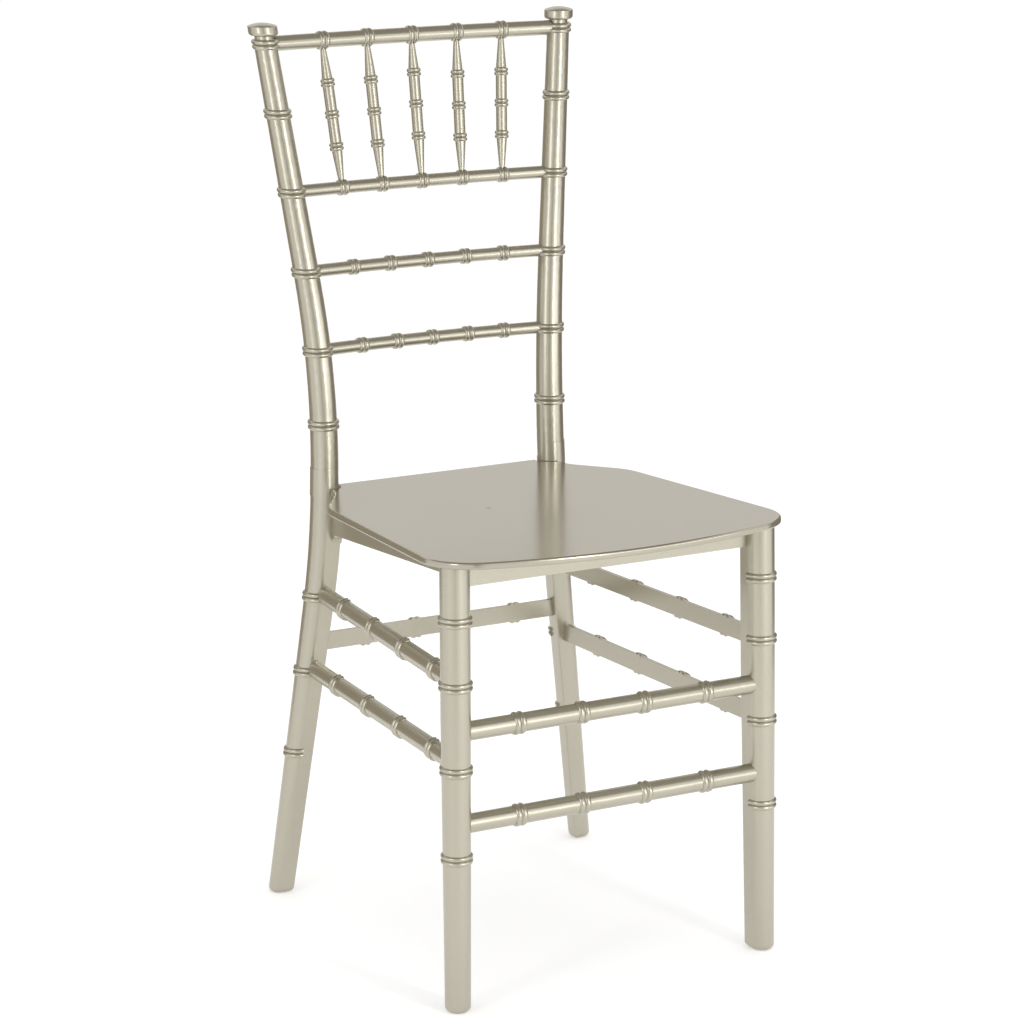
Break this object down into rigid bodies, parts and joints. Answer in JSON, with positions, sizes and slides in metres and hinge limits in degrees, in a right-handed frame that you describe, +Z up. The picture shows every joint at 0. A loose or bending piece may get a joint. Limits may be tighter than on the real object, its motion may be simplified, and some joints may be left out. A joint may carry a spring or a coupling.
{
  "type": "chiavari chair",
  "caption": "Bamboo-style banquet chair with turned spindles under a bowed crest rail, round stretchers and a thin flat seat.",
  "frame": {"origin": "on the floor under the middle of the chair", "axes": "+Z up, the front of the chair faces -Y, +X is to the right as seen from the front"},
  "size_m": [0.3944, 0.4878, 0.92],
  "materials": {
    "frame_resin": "satin metallic champagne resin",
    "seat_resin": "satin metallic champagne resin, lightly brushed",
    "screw_steel": "zinc plated"
  },
  "bodies": {
    "root": {"rear_post_right": "frame_resin", "rear_post_left": "frame_resin", "front_leg_right": "frame_resin", "front_leg_left": "frame_resin", "finial_right": "frame_resin", "finial_left": "frame_resin", "crest_rail": "frame_resin", "upper_back_rail": "frame_resin", "middle_back_rail": "frame_resin", "lower_back_rail": "frame_resin", "back_spindle_1": "frame_resin", "back_spindle_2": "frame_resin", "back_spindle_3": "frame_resin", "back_spindle_4": "frame_resin", "back_spindle_5": "frame_resin", "front_stretcher_upper": "frame_resin", "front_stretcher_lower": "frame_resin", "side_stretcher_upper_right": "frame_resin", "side_stretcher_upper_left": "frame_resin", "side_stretcher_lower_right": "frame_resin", "side_stretcher_lower_left": "frame_resin", "rear_stretcher": "frame_resin", "seat_panel": "seat_resin", "front_seat_rail": "frame_resin", "rear_seat_rail": "frame_resin", "side_seat_rail_right": "frame_resin", "side_seat_rail_left": "frame_resin", "front_corner_block_right": "frame_resin", "front_corner_block_left": "frame_resin", "rear_corner_block_right": "frame_resin", "rear_corner_block_left": "frame_resin", "seat_screws": "screw_steel", "block_screws": "screw_steel"}
  },
  "joints": []
}
